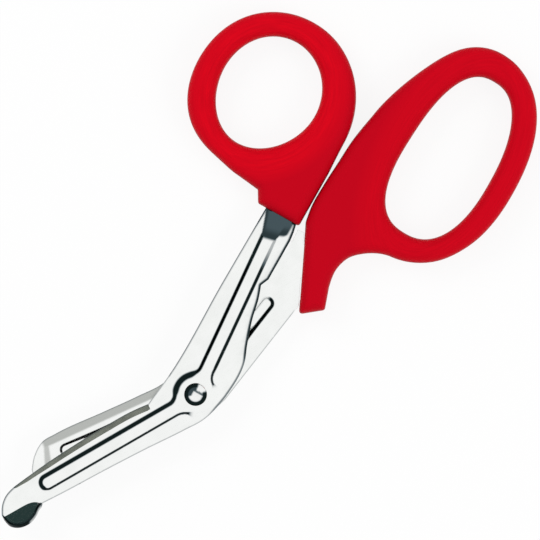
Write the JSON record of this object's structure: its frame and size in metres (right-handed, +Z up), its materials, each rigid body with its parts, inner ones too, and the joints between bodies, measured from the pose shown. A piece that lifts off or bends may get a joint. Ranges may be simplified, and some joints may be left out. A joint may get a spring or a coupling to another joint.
{
  "type": "trauma shears",
  "caption": "Angled bandage shears with pressed steel blades, a blunt folded foot and red plastic finger loops, hinged on one slotted screw.",
  "frame": {"origin": "on the pivot's axis, at the screw's flat end, in the plane that the shears lie on", "axes": "+X along the shanks towards the handles, +Y towards the thumb loop, +Z up, towards the screw's head"},
  "size_m": [0.1749, 0.0907, 0.0104],
  "materials": {
    "blade_steel": "bright tumbled stainless steel",
    "red_plastic": "glossy moulded red plastic with a fine texture",
    "pivot_steel": "polished plated steel"
  },
  "bodies": {
    "lower_half": {"lower_blade": "blade_steel", "thumb_handle": "red_plastic", "pivot_screw": "pivot_steel", "pivot_nut": "pivot_steel", "nut_washer": "pivot_steel", "pivot_spacer": "pivot_steel"},
    "upper_half": {"upper_blade": "blade_steel", "finger_handle": "red_plastic"}
  },
  "joints": [
    {"name": "blade_pivot", "type": "hinge", "parent": "lower_half", "child": "upper_half", "pos_m": [0, 0, 0.005], "axis": [0, 0, -1], "range_deg": [0, 75]}
  ]
}
